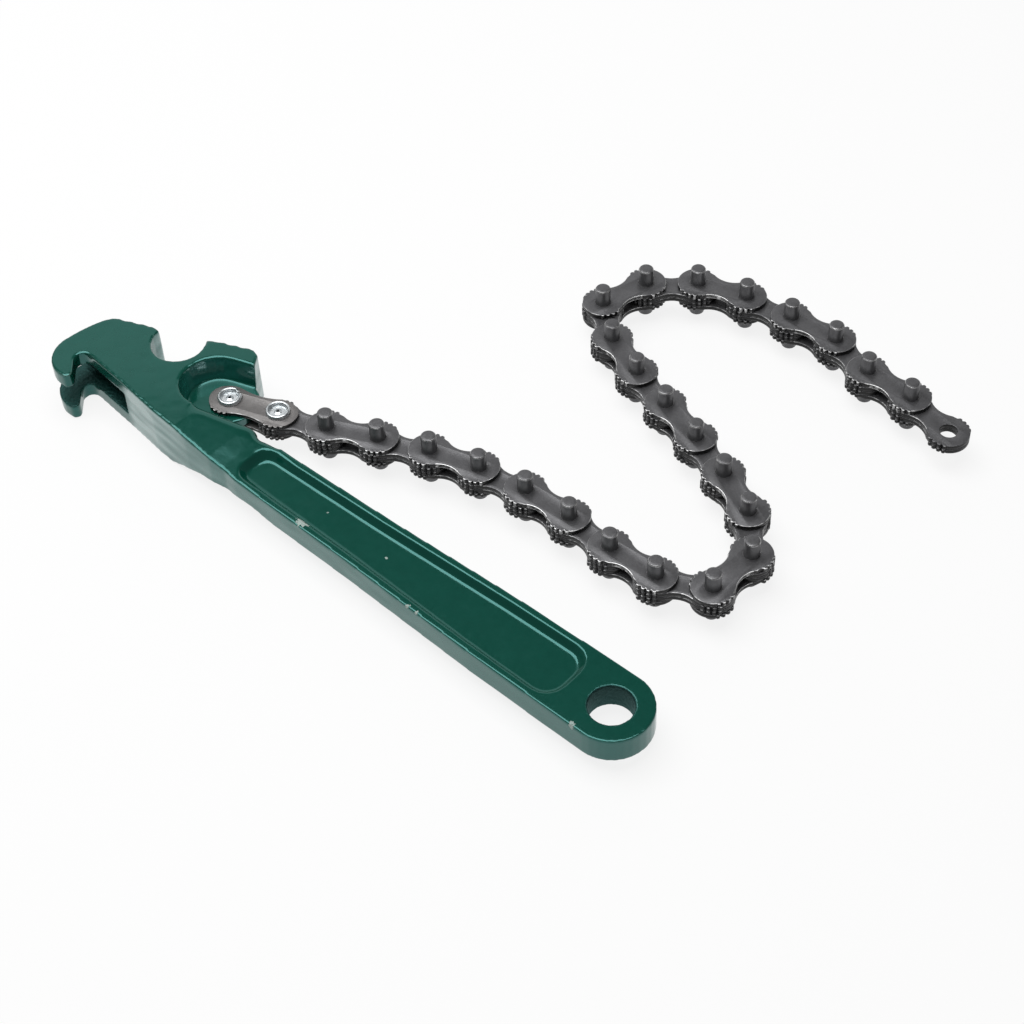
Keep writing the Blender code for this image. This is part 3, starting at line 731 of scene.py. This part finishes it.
def zinc_material(looks):
    """Bright zinc plate with faint clouding."""
    material, tree, shader = new_material("zinc")
    vector = piece_vector(tree)
    cloud = add_grain(tree, (0, 0), vector, ZINC_CLOUD)
    sheen = add_grain(tree, (0, 2), vector, ZINC_SHEEN)
    grey = tuple(ZINC_GREY * part for part in looks.zinc)
    feed(tree, shader, {
        "Base Color": mix(tree, (2, 0), cloud.outputs["Value"], looks.zinc, grey),
        "Roughness": sheen.outputs["Value"],
        "Metallic": ZINC_METAL,
        "Normal": add_bump(tree, (2, 4), cloud.outputs["Height"], ZINC_BUMP).outputs["Normal"],
    })
    return material


# Handle

def cast_mesh(looks):
    """The handle's solid with a fine skin, ready to be eased."""
    solid = frame["nodes"]["handle"].data.copy()
    solid.materials.clear()
    weld(solid, SOLID_WELD)
    guide = new_piece("handle_solid", solid)
    skin = guide.modifiers.new("skin", "REMESH")
    skin.mode = "VOXEL"
    skin.voxel_size = looks.voxel
    mesh = finished_mesh(guide, "cast_handle")
    bpy.data.objects.remove(guide)
    return mesh


def sunk_share(points):
    """Where the casting's sunk floors are: the panels of the grip and the chain's pockets."""
    low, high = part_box("handle")
    panel = box_share(
        points, (PANEL_START_X, -PANEL_REACH_Y, low.z), (PANEL_END_X, PANEL_REACH_Y, high.z), FADE
    )
    start = HINGES[0] - FIRST_WAY * POCKET_BEHIND
    end = HINGES[0] + FIRST_WAY * POCKET_AHEAD
    pocket = run_share(points, start, end, POCKET_REACH, FADE)
    return np.maximum(panel, pocket)


def rim_share(points):
    """Where the pocket's front rim is rounded off."""
    aside = Vector((FIRST_WAY.y, -FIRST_WAY.x, 0.0)) * RIM_ASIDE
    start = HINGES[0] + FIRST_WAY * RIM_START + aside
    end = HINGES[0] + FIRST_WAY * RIM_END + aside
    return run_share(points, start, end, RIM_REACH, RIM_FADE)


def corner_share(points):
    """Where the jaw's corners beside its notch are worn off."""
    share = np.zeros(len(points))
    for start, end, strength in WORN_CORNERS:
        worn = strength * run_share(points, start, end, CORNER_REACH, CORNER_FADE)
        share = np.maximum(share, worn)
    return share


def slot_share(points):
    low, high = OPENINGS["claw_slot"]
    return box_share(points, low, high, SLOT_FADE)


def glaze_and_painted_reflection_share(points, normals):
    """How much glaze and painted reflection upright walls take: streaky, and less towards the grip's end."""
    upright = np.clip((GLAZE_AND_PAINTED_REFLECTION_TILT - np.abs(normals[:, 2])) / GLAZE_AND_PAINTED_REFLECTION_FADE, 0.0, 1.0)
    low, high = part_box("handle")
    fall = np.interp(points[:, 0], (low.x, *GLAZE_AND_PAINTED_REFLECTION_PLACES, high.x), GLAZE_AND_PAINTED_REFLECTION_LEVELS)
    streaks = 1.0 + GLAZE_AND_PAINTED_REFLECTION_STREAKS * noise_at(points * STREAK_SCALE, 1.0, STREAK_OFFSET, upright)
    claw_end = OPENINGS["claw_slot"][1][0]
    claw = box_share(points, (low.x, low.y, low.z), (claw_end, CLAW_REACH_Y, high.z), CLAW_FADE)
    return np.clip(upright * fall * streaks * (1.0 - claw), 0.0, 1.0)


def bore_share(points):
    """Inside the hanging hole."""
    low, high = (Vector(corner) for corner in OPENINGS["hanging_hole"])
    middle = (low + high) / 2
    distance = np.hypot(points[:, 0] - middle.x, points[:, 1] - middle.y)
    return np.clip((BORE_RADIUS + BORE_FADE - distance) / BORE_FADE, 0.0, 1.0)


def chip_field(points):
    """Highest at the middle of each bare spot, and below 0 away from them all."""
    field = np.full(len(points), -1.0)
    for x, y, z, radius in CHIP_SPOTS:
        distance = np.linalg.norm(points - np.array((x, y, z)), axis=1)
        field = np.maximum(field, 1.0 - distance / (CHIP_SPREAD * radius))
    return field


class WRENCH_OT_dress_handle(bpy.types.Operator):
    """Stands an enamelled casting with soft edges in the handle's place"""

    bl_idname = "wrench.dress_handle"
    bl_label = "Dress the handle"

    def execute(self, context):
        looks = context.scene.wrench_handle
        mesh = cast_mesh(looks)
        edges = read_all(mesh.edges, "vertices", 2, np.int64)
        ease(mesh, edges, looks.edge_rounds)
        ease(mesh, edges, looks.fillet_rounds, sunk_share(points_of(mesh)), 1)
        ease(mesh, edges, looks.rim_rounds, rim_share(points_of(mesh)), -1)
        ease(mesh, edges, looks.corner_rounds, corner_share(points_of(mesh)), -1)
        ease(mesh, edges, LAST_ROUNDS)

        points, normals = points_of(mesh), normals_of(mesh)
        slot = slot_share(points)
        waves = looks.unevenness * layered_noise(points, WAVES)
        rise = waves + looks.slot_lumps * slot * layered_noise(points, LUMPS, slot)
        low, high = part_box("handle")
        place_points(mesh, np.clip(points + normals * rise[:, None], low, high))

        points = points_of(mesh)
        bend = np.einsum("ij,ij->i", neighbour_mean(points, edges) - points, normals_of(mesh))
        for _ in range(LAST_ROUNDS):
            bend = 0.5 * (bend + neighbour_mean(bend, edges))
        # How convex each point is; rims take thin enamel and a painted highlight from it.
        store_value(mesh, "edge", np.clip(-bend / (EDGE_BEND * looks.voxel), 0.0, 1.0))
        store_value(mesh, "chip", chip_field(points))
        # Rough skin and painted shade in the claw's slot and the hanging hole.
        rough_and_shaded = np.maximum(slot, BORE_ROUGH_AND_SHADE_SHARE * bore_share(points))
        store_value(mesh, "rough_and_shaded", rough_and_shaded)
        # Glaze and painted reflection on upright walls, none where the skin is rough and shaded.
        store_value(mesh, "glaze_and_painted_reflection", (1.0 - rough_and_shaded) * glaze_and_painted_reflection_share(points, normals_of(mesh)))
        mesh.shade_smooth()
        mesh.materials.append(enamel_material(looks))
        piece = new_piece("cast_handle", mesh)
        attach(piece, "handle")
        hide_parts("handle")
        return {"FINISHED"}


# Chain

def polar(radius, degrees, centre=(0.0, 0.0)):
    angle = math.radians(degrees)
    return (centre[0] + radius * math.cos(angle), centre[1] + radius * math.sin(angle))


def toothed_arc(looks, dice, level):
    """Rounded teeth beside a lobe, each a little unlike the next. At level 0 the arc is plain."""
    step = (TEETH_LAST_ANGLE - TEETH_FIRST_ANGLE) / looks.teeth
    points = []
    for i in range(looks.teeth):
        height = level * looks.tooth * dice.uniform(*TOOTH_HEIGHTS)
        lean = dice.uniform(-TOOTH_LEAN, TOOTH_LEAN)
        for share, rise in TOOTH_SHARES:
            angle = TEETH_FIRST_ANGLE + step * (i + share + lean * (share > 0.0))
            points.append(polar(looks.lobe + height * rise, angle))
    return points


def plate_quarter(looks, waist, dice, tooth_share):
    """One quarter of a plate's outline, from the waist round a lobe's upper side to its tip."""
    half_pitch, half_waist = PITCH / 2, waist / 2
    hollow = (half_pitch**2 + half_waist**2 - looks.lobe**2) / (2 * (looks.lobe - half_waist))
    centre = (half_pitch, half_waist + hollow)
    touch = math.degrees(math.atan2(centre[1], half_pitch))
    flank = [polar(hollow, 270 + (touch - 90) * i / FLANK_STEPS, centre) for i in range(FLANK_STEPS + 1)]
    tip = [
        polar(looks.lobe, TEETH_LAST_ANGLE + (180 - TEETH_LAST_ANGLE) * i / TIP_STEPS)
        for i in range(TIP_STEPS + 1)
    ]
    return flank + toothed_arc(looks, dice, tooth_share) + tip


def plate_outline(looks, waist, dice, plain):
    """A figure-of-eight outline from the origin to one pitch along X.

    A plain plate has teeth on its near side only, and its far side is narrower.
    """
    corners = []
    for left, upper in ((True, True), (True, False), (False, False), (False, True)):
        far = plain and upper
        quarter = plate_quarter(looks, waist, dice, 0.0 if far else 1.0)
        if left != upper:
            quarter.reverse()
        for x, y in quarter:
            corner = (x if left else PITCH - x, (FAR_SIDE_SHARE if far else 1.0) * y if upper else -y)
            if not corners or math.dist(corner, corners[-1]) > LEAST_STEP:
                corners.append(corner)
    if math.dist(corners[0], corners[-1]) < LEAST_STEP:
        corners.pop()
    return corners


def circle(radius, sides, centre):
    return [polar(radius, 360.0 * i / sides, centre) for i in range(sides)]


def pressed_mesh(name, outlines, thickness, edge):
    """A flat plate of closed outlines with eased edges, the later ones being its holes."""
    curve = bpy.data.curves.new(name, "CURVE")
    curve.dimensions = "2D"
    curve.fill_mode = "BOTH"
    curve.extrude = thickness / 2 - edge
    curve.bevel_depth = edge
    curve.bevel_resolution = BEVEL_STEPS
    curve.offset = -edge
    for points in outlines:
        spline = curve.splines.new("POLY")
        spline.points.add(len(points) - 1)
        for point, (x, y) in zip(spline.points, points):
            point.co = (x, y, 0.0, 1.0)
        spline.use_cyclic_u = True
    guide = new_piece(name, curve)
    mesh = finished_mesh(guide, name)
    bpy.data.objects.remove(guide)
    bpy.data.curves.remove(curve)
    weld(mesh, PLATE_WELD)
    return mesh


def mark_faces(mesh, looks, wear_and_highlight=LOW_WEAR_AND_HIGHLIGHT, crease=CREASE):
    """Stores on each face how much rubbed wear and painted highlight its edge takes, and whether it is
    the cut wall of a plate, which is painted dark with shade.

    Teeth take the most rubbed wear and painted highlight at their tips, and pins on their chamfers.
    Flat faces are shaded flat, so that the eased edges don't bend the light on them. Edges that bend
    by more than the crease, in degrees, are sharp.
    """
    tilt = np.abs(read_all(mesh.polygons, "normal", 3)[:, 2])
    x, y, z = read_all(mesh.polygons, "center", 3).T
    tip = np.minimum(np.hypot(x, y), np.hypot(x - PITCH, y)) > looks.lobe + TIP_SHARE * looks.tooth
    wall = (tilt <= WALL_TILT) & (np.abs(z) < looks.thickness / 2)
    eased = (tilt > WALL_TILT) & (tilt < EASED_TILT)
    # Rubbed wear with a painted highlight, most on tooth tips and pin chamfers.
    worn = np.where(tip, TIP_WEAR_AND_HIGHLIGHT, 1.0) * wear_and_highlight * eased + TIP_WALL_WEAR_AND_HIGHLIGHT * wear_and_highlight * (tip & wall)
    worn = np.where(eased & (np.abs(z) > looks.thickness), PIN_WEAR_AND_HIGHLIGHT, worn)
    store_value(mesh, "edge", worn, "FACE")
    # Cut walls, which the steel paints dark as shade.
    store_value(mesh, "cut_and_shaded_wall", wall.astype(float), "FACE")
    mesh.polygons.foreach_set("use_smooth", tilt < FLAT_TILT)
    mesh.set_sharp_from_angle(angle=math.radians(crease))


def turned_mesh(name, section, sides):
    """A closed ring or pin turned about Z from its section of (radius, z) points."""
    edit = bmesh.new()
    rings = []
    for radius, z in section:
        if radius == 0.0:
            rings.append([edit.verts.new((0.0, 0.0, z))])
        else:
            rings.append([edit.verts.new((x, y, z)) for x, y in circle(radius, sides, (0.0, 0.0))])
    pairs = list(zip(rings, rings[1:]))
    if section[0][0] > 0.0:
        pairs.append((rings[-1], rings[0]))
    for upper, lower in pairs:
        for i in range(sides):
            j = (i + 1) % sides
            corners = [upper[i % len(upper)], lower[i % len(lower)]]
            corners += [lower[j % len(lower)], upper[j % len(upper)]]
            edit.faces.new(list(dict.fromkeys(corners)))
    bmesh.ops.recalc_face_normals(edit, faces=edit.faces)
    mesh = bpy.data.meshes.new(name)
    edit.to_mesh(mesh)
    edit.free()
    return mesh


def pin_section(looks, dice):
    """A pin from its upper middle to its lower middle, with a chamfer at both ends."""
    half = looks.pin_length / 2
    edge = looks.pin_edge * dice.uniform(*PIN_EDGES)
    upper = [(0.0, half), (PIN_DOME[0] * looks.pin_radius, half - PIN_DOME[1] * edge)]
    upper += [(looks.pin_radius - inward * edge, half - down * edge) for inward, down in PIN_CORNER]
    return upper + [(radius, -z) for radius, z in reversed(upper)]


def link_matrix(number, height):
    """From a plate's own place, its first hole at the origin, to its place in the frame."""
    start = HINGES[number - 1]
    if number < LAST_LINK:
        ahead = HINGES[number] - start
    else:
        low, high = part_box("link_%02d_upper_plate" % number)
        ahead = (low + high) / 2 - start
    turn = Matrix.Rotation(math.atan2(ahead.y, ahead.x), 4, "Z")
    return Matrix.Translation(start + Vector((0.0, 0.0, height))) @ turn


def add_chain_piece(name, mesh, number, height, material, node):
    """Stands a mesh in a node's place, on the link with that number."""
    mesh.transform(link_matrix(number, height))
    mesh.materials.clear()
    mesh.materials.append(material)
    piece = new_piece(name, mesh)
    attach(piece, "link_%02d" % number)
    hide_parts(node)


def plate_mesh(looks, waist, holes, dice, thickness=None, plain=False):
    outlines = [plate_outline(looks, waist, dice, plain)]
    outlines += [circle(radius, HOLE_SIDES, (PITCH * end, 0.0)) for end, radius in enumerate(holes)]
    return pressed_mesh("plate", outlines, thickness or looks.thickness, looks.edge)


def pinned_mesh(looks, dice):
    """A plate with its two pins pressed in, as one body."""
    plate = new_piece("plate", plate_mesh(looks, looks.waist, (), dice))
    pins = []
    for end in range(2):
        pin = new_piece("pin", turned_mesh("pin", pin_section(looks, dice), PIN_SIDES))
        pin.location = (PITCH * end, 0.0, OUTER_LAYERS * looks.layer)
        union = plate.modifiers.new("pin", "BOOLEAN")
        union.operation = "UNION"
        union.object = pin
        pins.append(pin)
    bpy.context.view_layer.update()
    mesh = finished_mesh(plate, "pinned_plate")
    for item in [plate, *pins]:
        bpy.data.objects.remove(item)
    return mesh


class WRENCH_OT_dress_links(bpy.types.Operator):
    """Stands toothed plates and long pins in the places of the second link to the last"""

    bl_idname = "wrench.dress_links"
    bl_label = "Dress the chain"

    def execute(self, context):
        looks = context.scene.wrench_chain
        steel = steel_material("chain_steel", looks.steel, looks.bright, CHAIN_STEEL)
        snug = looks.pin_radius + SNUG_GAP
        outer, inner = OUTER_LAYERS * looks.layer, INNER_LAYERS * looks.layer
        for number in range(2, LAST_LINK + 1):
            dice = random.Random(number)
            if number % 2:
                top = plate_mesh(looks, looks.waist, (snug, snug), dice)
                pinned = pinned_mesh(looks, dice)
                plates = (("top", top, outer, TOP_WEAR_AND_HIGHLIGHT), ("pinned", pinned, -outer, LOW_WEAR_AND_HIGHLIGHT))
            else:
                first = looks.rivet_hole if number == 2 else snug
                last = looks.end_hole if number == LAST_LINK else snug
                plates = [
                    (side, plate_mesh(looks, looks.waist, (first, last), dice), height, LOW_WEAR_AND_HIGHLIGHT)
                    for side, height in (("upper", inner), ("lower", -inner))
                ]
            for side, mesh, height, wear_and_highlight in plates:
                mark_faces(mesh, looks, wear_and_highlight)
                node = "link_%02d_%s_plate" % (number, side)
                name = node + "_toothed"
                add_chain_piece(name, mesh, number, height, steel, node)
        return {"FINISHED"}


# First link

def rivet_seat(looks):
    """Height of a rivet's rim, where it lies on the first link's plate."""
    return looks.first_height + looks.first_thickness / 2 + RIM_GAP


def rivet_section(looks):
    """A hollow rivet's section, with a rolled rim and a low cone round the bore at both ends."""
    seat = rivet_seat(looks)
    middle = (looks.rim_radius + looks.rivet_mouth) / 2
    reach = looks.rim_radius - middle
    floor = seat - MOUTH_DEPTH
    upper = [(looks.rivet_bore, floor + CONE_RISE), (CONE_FOOT, floor)]
    upper.append((looks.rivet_mouth - MOUTH_TAPER, floor))
    for degrees in range(180, -1, -CROWN_STEP):
        side, rise = polar(1.0, degrees)
        height = seat + looks.rim_height * (RIM_FOOT_SHARE + CROWN_SHARE * rise)
        upper.append((middle + reach * side, height))
    upper += [(looks.rim_radius, seat), (looks.rivet_wall, seat)]
    return upper + [(radius, -z) for radius, z in reversed(upper)]


def split_rim(mesh, looks):
    """Opens the rim of a rivet on one side, one lip of the split bent inwards."""
    points = points_of(mesh)
    seat = rivet_seat(looks)
    angle = np.degrees(np.arctan2(points[:, 1], points[:, 0]))
    radius = np.linalg.norm(points[:, :2], axis=1)
    upper = (points[:, 2] > seat + LEAST_STEP) & (radius > looks.rivet_mouth - LEAST_STEP)
    gap = upper * np.clip(1.0 - np.abs(angle - SPLIT_ANGLE) / SPLIT_WIDTH, 0.0, 1.0)
    lip = upper * np.clip(1.0 - np.abs(angle - SPLIT_ANGLE + LIP_ASIDE) / LIP_WIDTH, 0.0, 1.0)
    inward = looks.rim_height * (SPLIT_IN * gap + LIP_IN * lip)
    points[:, :2] *= (1.0 - inward / np.maximum(radius, looks.rivet_bore))[:, None]
    points[:, 2] -= looks.rim_height * SPLIT_DOWN * gap
    place_points(mesh, points)


class WRENCH_OT_dress_first_link(bpy.types.Operator):
    """Stands the first link's wide plates and its two hollow rivets in their places"""

    bl_idname = "wrench.dress_first_link"
    bl_label = "Dress the first link"

    def execute(self, context):
        looks = context.scene.wrench_chain
        steel = steel_material("anchor_steel", looks.first_steel, looks.bright, FIRST_STEEL)
        zinc = zinc_material(looks)
        holes = (looks.rivet_hole, looks.rivet_hole)
        for side, up in (("top", 1), ("bottom", -1)):
            node = "link_01_%s_plate" % side
            dice = random.Random(FIRST_SEED + up)
            plate = plate_mesh(looks, looks.first_waist, holes, dice, looks.first_thickness, True)
            mark_faces(plate, looks)
            height = up * looks.first_height
            add_chain_piece(node + "_toothed", plate, 1, height, steel, node)
        for end in range(2):
            mesh = turned_mesh("rivet", rivet_section(looks), RIVET_SIDES)
            if end == 0:
                split_rim(mesh, looks)
            mesh.transform(Matrix.Translation((PITCH * end, 0.0, 0.0)))
            mark_faces(mesh, looks, crease=RIVET_CREASE)
            node = "rivet_%d" % (end + 1)
            add_chain_piece(node + "_plated", mesh, 1, 0.0, zinc, node)
        return {"FINISHED"}


# Stage

def floor_material(looks):
    """Pale floor that glows a little where it is seen, so that it stays near white."""
    material, tree, shader = new_material("floor")
    tree.nodes.remove(shader)
    paint = new_node(tree, "ShaderNodeBsdfDiffuse", (2, 0))
    feed(tree, paint, {"Color": looks.floor})
    glow = new_node(tree, "ShaderNodeEmission", (2, 1))
    clear = new_node(tree, "ShaderNodeBsdfTransparent", (4, 2))
    ray = new_node(tree, "ShaderNodeLightPath", (-2, 2))
    shape = new_node(tree, "ShaderNodeNewGeometry", (2, 4))
    camera_ray, glossy_ray = ray.outputs["Is Camera Ray"], ray.outputs["Is Glossy Ray"]
    seen = calculate(tree, (0, 2), "ADD", camera_ray, glossy_ray, use_clamp=True)
    through = ray.outputs["Is Transmission Ray"]
    also = calculate(tree, (1, 2), "ADD", seen, through, use_clamp=True)
    share = calculate(tree, (2, 2), "MULTIPLY", also, looks.floor_glow)
    mixed = mix_shaders(tree, (5, 0), share, paint, glow)
    faced = mix_shaders(tree, (7, 0), shape.outputs["Backfacing"], mixed, clear)
    feed(tree, tree.nodes["Material Output"], {"Surface": faced.outputs[0]})
    return material


def add_floor(looks):
    edit = bmesh.new()
    bmesh.ops.create_grid(edit, x_segments=1, y_segments=1, size=looks.floor_size / 2)
    mesh = bpy.data.meshes.new("floor")
    edit.to_mesh(mesh)
    edit.free()
    mesh.materials.append(floor_material(looks))
    floor = new_piece("floor", mesh)
    floor.location = (CAD_BOX[0] + CAD_BOX[1]) / 2
    floor.location.z = CAD_BOX[0].z - FLOOR_GAP


def set_world(looks):
    """Even grey light, white where the camera sees past the floor."""
    world = bpy.data.worlds.new("studio")
    bpy.context.scene.world = world
    world.use_nodes = True
    tree = world.node_tree
    around = tree.nodes["Background"]
    white = new_node(tree, "ShaderNodeBackground", (0, 2))
    for node, level in ((around, looks.sky), (white, 1.0)):
        feed(tree, node, {"Color": (1.0, 1.0, 1.0), "Strength": level})
    ray = new_node(tree, "ShaderNodeLightPath", (-2, 2))
    mixed = mix_shaders(tree, (2, 0), ray.outputs["Is Camera Ray"], around, white)
    feed(tree, tree.nodes["World Output"], {"Surface": mixed.outputs[0]})


def add_lamp(name, place, target, size, power):
    lamp = bpy.data.lights.new(name, "AREA")
    lamp.shape = "RECTANGLE"
    lamp.size, lamp.size_y = size
    lamp.energy = power
    item = new_piece(name, lamp)
    item.location = place
    item.rotation_euler = (target - place).to_track_quat("-Z", "Y").to_euler()


class WRENCH_OT_set_stage(bpy.types.Operator):
    """Sets the floor, the lamps, the world and the camera"""

    bl_idname = "wrench.set_stage"
    bl_label = "Set the stage"

    def execute(self, context):
        looks = context.scene.wrench_stage
        middle = (CAD_BOX[0] + CAD_BOX[1]) / 2
        add_floor(looks)
        set_world(looks)
        above = middle + Vector(looks.overhead_place)
        below = Vector((above.x, above.y, middle.z))
        add_lamp("overhead_lamp", above, below, looks.overhead_size, looks.overhead_power)
        behind = middle + Vector(looks.back_place)
        add_lamp("back_lamp", behind, middle, looks.back_size, looks.back_power)
        camera = new_piece("camera", bpy.data.cameras.new("camera"))
        camera.data.lens = looks.lens
        camera.data.sensor_width = SENSOR_WIDTH
        camera.data.clip_start = NEAR_CLIP
        camera.rotation_euler = (
            Matrix.Rotation(looks.camera_turn, 3, "Z")
            @ Matrix.Rotation(looks.camera_tilt, 3, "X")
            @ Matrix.Rotation(looks.camera_roll, 3, "Z")
        ).to_euler()
        camera.location = looks.camera_place
        context.scene.camera = camera
        context.scene.view_settings.view_transform = "Standard"
        return {"FINISHED"}


class WRENCH_PT_looks(bpy.types.Panel):
    """Lists the wrench's looks and the steps that build them"""

    bl_label = "Chain wrench"
    bl_space_type = "VIEW_3D"
    bl_region_type = "UI"
    bl_category = "Wrench"

    def draw(self, context):
        layout = self.layout
        for group in ("wrench_handle", "wrench_chain", "wrench_stage"):
            looks = getattr(context.scene, group)
            box = layout.box()
            for name in looks.bl_rna.properties.keys():
                if name not in ("rna_type", "name"):
                    box.prop(looks, name)
        for operator in OPERATORS:
            layout.operator(operator.bl_idname)


OPERATORS = (
    WRENCH_OT_set_stage,
    WRENCH_OT_dress_handle,
    WRENCH_OT_dress_first_link,
    WRENCH_OT_dress_links,
)
CLASSES = (HandleLooks, ChainLooks, StageLooks, *OPERATORS, WRENCH_PT_looks)


def register():
    for item in CLASSES:
        bpy.utils.register_class(item)
    bpy.types.Scene.wrench_handle = PointerProperty(type=HandleLooks)
    bpy.types.Scene.wrench_chain = PointerProperty(type=ChainLooks)
    bpy.types.Scene.wrench_stage = PointerProperty(type=StageLooks)


def unregister():
    del bpy.types.Scene.wrench_stage
    del bpy.types.Scene.wrench_chain
    del bpy.types.Scene.wrench_handle
    for item in reversed(CLASSES):
        bpy.utils.unregister_class(item)


def main():
    register()
    bpy.ops.wrench.set_stage()
    bpy.ops.wrench.dress_handle()
    bpy.ops.wrench.dress_first_link()
    bpy.ops.wrench.dress_links()


if __name__ == "__main__":
    main()
